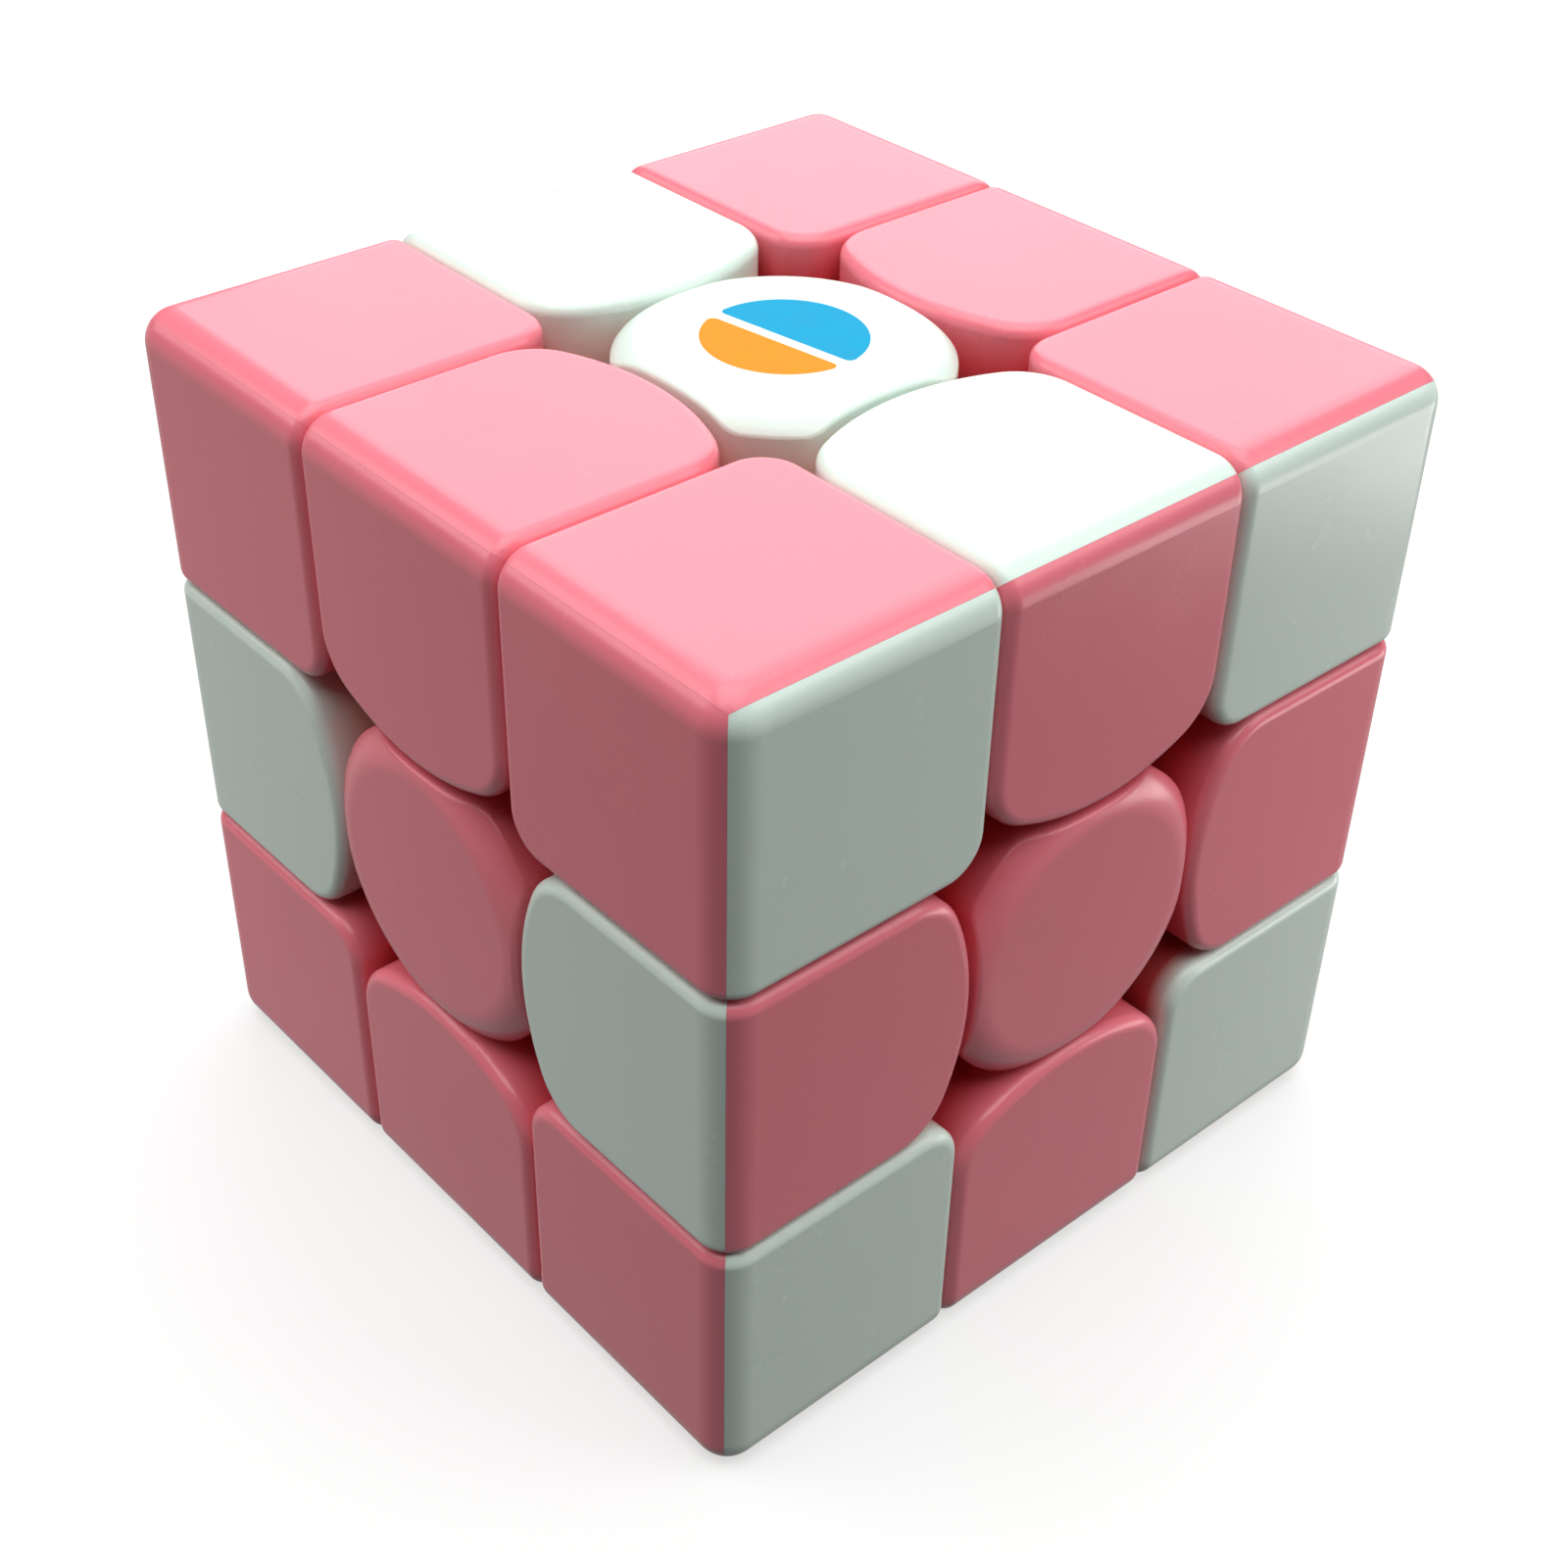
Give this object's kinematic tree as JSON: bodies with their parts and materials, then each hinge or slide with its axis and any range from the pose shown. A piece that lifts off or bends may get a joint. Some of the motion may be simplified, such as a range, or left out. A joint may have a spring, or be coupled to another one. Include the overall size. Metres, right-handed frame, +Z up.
{
  "type": "twisty puzzle cube",
  "caption": "Layered twisty puzzle cube in pink and white plastic whose faces turn about a sprung inner core.",
  "frame": {"origin": "middle of the core, where the six turning axes meet", "axes": "+Z up through the top centre, -Y through the front centre, +X through the right centre, so the axes are the three turning axes"},
  "size_m": [0.056, 0.056, 0.056],
  "materials": {
    "pink_plastic": "smooth, softly glossy moulded pink plastic, coloured through",
    "white_plastic": "smooth, softly glossy moulded white plastic, coloured through",
    "core_plastic": "plain moulded core, satin",
    "screw_steel": "zinc plated screws and washers",
    "spring_steel": "drawn spring wire"
  },
  "bodies": {
    "core": {"core_spider": "core_plastic", "tension_screws": "screw_steel", "washers": "screw_steel", "tension_springs": "spring_steel"},
    "centre_up": {"centre_up_cap": "white_plastic", "centre_up_base": "pink_plastic"},
    "centre_down": {"centre_down_cap": "white_plastic", "centre_down_base": "pink_plastic"},
    "centre_front": {"centre_front_cap": "pink_plastic", "centre_front_base": "pink_plastic"},
    "centre_back": {"centre_back_cap": "pink_plastic", "centre_back_base": "pink_plastic"},
    "centre_left": {"centre_left_cap": "pink_plastic", "centre_left_base": "pink_plastic"},
    "centre_right": {"centre_right_cap": "pink_plastic", "centre_right_base": "pink_plastic"},
    "edge_up_front": {"edge_up_front_pink_shells_and_foot": "pink_plastic"},
    "edge_up_back": {"edge_up_back_pink_shells_and_foot": "pink_plastic"},
    "edge_down_front": {"edge_down_front_pink_shells_and_foot": "pink_plastic"},
    "edge_down_back": {"edge_down_back_pink_shells_and_foot": "pink_plastic"},
    "edge_up_left": {"edge_up_left_pink_shell_and_foot": "pink_plastic", "edge_up_left_white_shell": "white_plastic"},
    "edge_up_right": {"edge_up_right_pink_shell_and_foot": "pink_plastic", "edge_up_right_white_shell": "white_plastic"},
    "edge_down_left": {"edge_down_left_pink_shell_and_foot": "pink_plastic", "edge_down_left_white_shell": "white_plastic"},
    "edge_down_right": {"edge_down_right_pink_shell_and_foot": "pink_plastic", "edge_down_right_white_shell": "white_plastic"},
    "edge_front_left": {"edge_front_left_pink_shell_and_foot": "pink_plastic", "edge_front_left_white_shell": "white_plastic"},
    "edge_front_right": {"edge_front_right_pink_shell_and_foot": "pink_plastic", "edge_front_right_white_shell": "white_plastic"},
    "edge_back_left": {"edge_back_left_pink_shell_and_foot": "pink_plastic", "edge_back_left_white_shell": "white_plastic"},
    "edge_back_right": {"edge_back_right_pink_shell_and_foot": "pink_plastic", "edge_back_right_white_shell": "white_plastic"},
    "corner_up_front_left": {"corner_up_front_left_pink_shells_and_foot": "pink_plastic", "corner_up_front_left_white_shell": "white_plastic"},
    "corner_up_front_right": {"corner_up_front_right_pink_shells_and_foot": "pink_plastic", "corner_up_front_right_white_shell": "white_plastic"},
    "corner_up_back_left": {"corner_up_back_left_pink_shells_and_foot": "pink_plastic", "corner_up_back_left_white_shell": "white_plastic"},
    "corner_up_back_right": {"corner_up_back_right_pink_shells_and_foot": "pink_plastic", "corner_up_back_right_white_shell": "white_plastic"},
    "corner_down_front_left": {"corner_down_front_left_pink_shells_and_foot": "pink_plastic", "corner_down_front_left_white_shell": "white_plastic"},
    "corner_down_front_right": {"corner_down_front_right_pink_shells_and_foot": "pink_plastic", "corner_down_front_right_white_shell": "white_plastic"},
    "corner_down_back_left": {"corner_down_back_left_pink_shells_and_foot": "pink_plastic", "corner_down_back_left_white_shell": "white_plastic"},
    "corner_down_back_right": {"corner_down_back_right_pink_shells_and_foot": "pink_plastic", "corner_down_back_right_white_shell": "white_plastic"}
  },
  "joints": [
    {"name": "up_turn", "type": "hinge", "parent": "core", "child": "centre_up", "pos_m": [0, 0, 0], "axis": [0, 0, 1], "continuous": true},
    {"name": "down_turn", "type": "hinge", "parent": "core", "child": "centre_down", "pos_m": [0, 0, 0], "axis": [0, 0, -1], "continuous": true},
    {"name": "front_turn", "type": "hinge", "parent": "core", "child": "centre_front", "pos_m": [0, 0, 0], "axis": [0, -1, 0], "continuous": true},
    {"name": "back_turn", "type": "hinge", "parent": "core", "child": "centre_back", "pos_m": [0, 0, 0], "axis": [0, 1, 0], "continuous": true},
    {"name": "left_turn", "type": "hinge", "parent": "core", "child": "centre_left", "pos_m": [0, 0, 0], "axis": [-1, 0, 0], "continuous": true},
    {"name": "right_turn", "type": "hinge", "parent": "core", "child": "centre_right", "pos_m": [0, 0, 0], "axis": [1, 0, 0], "continuous": true},
    {"name": "edge_up_front_with_front", "type": "hinge", "parent": "centre_up", "child": "edge_up_front", "pos_m": [0, 0, 0], "axis": [0, -1, 0], "continuous": true},
    {"name": "edge_up_back_with_back", "type": "hinge", "parent": "centre_up", "child": "edge_up_back", "pos_m": [0, 0, 0], "axis": [0, 1, 0], "continuous": true},
    {"name": "edge_down_front_with_down", "type": "hinge", "parent": "centre_front", "child": "edge_down_front", "pos_m": [0, 0, 0], "axis": [0, 0, -1], "continuous": true},
    {"name": "edge_down_back_with_down", "type": "hinge", "parent": "centre_back", "child": "edge_down_back", "pos_m": [0, 0, 0], "axis": [0, 0, -1], "continuous": true},
    {"name": "edge_up_left_with_left", "type": "hinge", "parent": "centre_up", "child": "edge_up_left", "pos_m": [0, 0, 0], "axis": [-1, 0, 0], "continuous": true},
    {"name": "edge_up_right_with_right", "type": "hinge", "parent": "centre_up", "child": "edge_up_right", "pos_m": [0, 0, 0], "axis": [1, 0, 0], "continuous": true},
    {"name": "edge_down_left_with_down", "type": "hinge", "parent": "centre_left", "child": "edge_down_left", "pos_m": [0, 0, 0], "axis": [0, 0, -1], "continuous": true},
    {"name": "edge_down_right_with_down", "type": "hinge", "parent": "centre_right", "child": "edge_down_right", "pos_m": [0, 0, 0], "axis": [0, 0, -1], "continuous": true},
    {"name": "edge_front_left_with_front", "type": "hinge", "parent": "centre_left", "child": "edge_front_left", "pos_m": [0, 0, 0], "axis": [0, -1, 0], "continuous": true},
    {"name": "edge_front_right_with_right", "type": "hinge", "parent": "centre_front", "child": "edge_front_right", "pos_m": [0, 0, 0], "axis": [1, 0, 0], "continuous": true},
    {"name": "edge_back_left_with_left", "type": "hinge", "parent": "centre_back", "child": "edge_back_left", "pos_m": [0, 0, 0], "axis": [-1, 0, 0], "continuous": true},
    {"name": "edge_back_right_with_back", "type": "hinge", "parent": "centre_right", "child": "edge_back_right", "pos_m": [0, 0, 0], "axis": [0, 1, 0], "continuous": true},
    {"name": "corner_up_front_left_with_left", "type": "hinge", "parent": "edge_up_front", "child": "corner_up_front_left", "pos_m": [0, 0, 0], "axis": [-1, 0, 0], "continuous": true},
    {"name": "corner_up_front_right_with_right", "type": "hinge", "parent": "edge_up_front", "child": "corner_up_front_right", "pos_m": [0, 0, 0], "axis": [1, 0, 0], "continuous": true},
    {"name": "corner_up_back_left_with_left", "type": "hinge", "parent": "edge_up_back", "child": "corner_up_back_left", "pos_m": [0, 0, 0], "axis": [-1, 0, 0], "continuous": true},
    {"name": "corner_up_back_right_with_right", "type": "hinge", "parent": "edge_up_back", "child": "corner_up_back_right", "pos_m": [0, 0, 0], "axis": [1, 0, 0], "continuous": true},
    {"name": "corner_down_front_left_with_left", "type": "hinge", "parent": "edge_down_front", "child": "corner_down_front_left", "pos_m": [0, 0, 0], "axis": [-1, 0, 0], "continuous": true},
    {"name": "corner_down_front_right_with_right", "type": "hinge", "parent": "edge_down_front", "child": "corner_down_front_right", "pos_m": [0, 0, 0], "axis": [1, 0, 0], "continuous": true},
    {"name": "corner_down_back_left_with_left", "type": "hinge", "parent": "edge_down_back", "child": "corner_down_back_left", "pos_m": [0, 0, 0], "axis": [-1, 0, 0], "continuous": true},
    {"name": "corner_down_back_right_with_right", "type": "hinge", "parent": "edge_down_back", "child": "corner_down_back_right", "pos_m": [0, 0, 0], "axis": [1, 0, 0], "continuous": true}
  ],
  "couplings": [
    {"joint": "edge_up_front_with_front", "follows": "front_turn", "ratio": 1},
    {"joint": "edge_up_back_with_back", "follows": "back_turn", "ratio": 1},
    {"joint": "edge_down_front_with_down", "follows": "down_turn", "ratio": 1},
    {"joint": "edge_down_back_with_down", "follows": "down_turn", "ratio": 1},
    {"joint": "edge_up_left_with_left", "follows": "left_turn", "ratio": 1},
    {"joint": "edge_up_right_with_right", "follows": "right_turn", "ratio": 1},
    {"joint": "edge_down_left_with_down", "follows": "down_turn", "ratio": 1},
    {"joint": "edge_down_right_with_down", "follows": "down_turn", "ratio": 1},
    {"joint": "edge_front_left_with_front", "follows": "front_turn", "ratio": 1},
    {"joint": "edge_front_right_with_right", "follows": "right_turn", "ratio": 1},
    {"joint": "edge_back_left_with_left", "follows": "left_turn", "ratio": 1},
    {"joint": "edge_back_right_with_back", "follows": "back_turn", "ratio": 1},
    {"joint": "corner_up_front_left_with_left", "follows": "left_turn", "ratio": 1},
    {"joint": "corner_up_front_right_with_right", "follows": "right_turn", "ratio": 1},
    {"joint": "corner_up_back_left_with_left", "follows": "left_turn", "ratio": 1},
    {"joint": "corner_up_back_right_with_right", "follows": "right_turn", "ratio": 1},
    {"joint": "corner_down_front_left_with_left", "follows": "left_turn", "ratio": 1},
    {"joint": "corner_down_front_right_with_right", "follows": "right_turn", "ratio": 1},
    {"joint": "corner_down_back_left_with_left", "follows": "left_turn", "ratio": 1},
    {"joint": "corner_down_back_right_with_right", "follows": "right_turn", "ratio": 1}
  ]
}
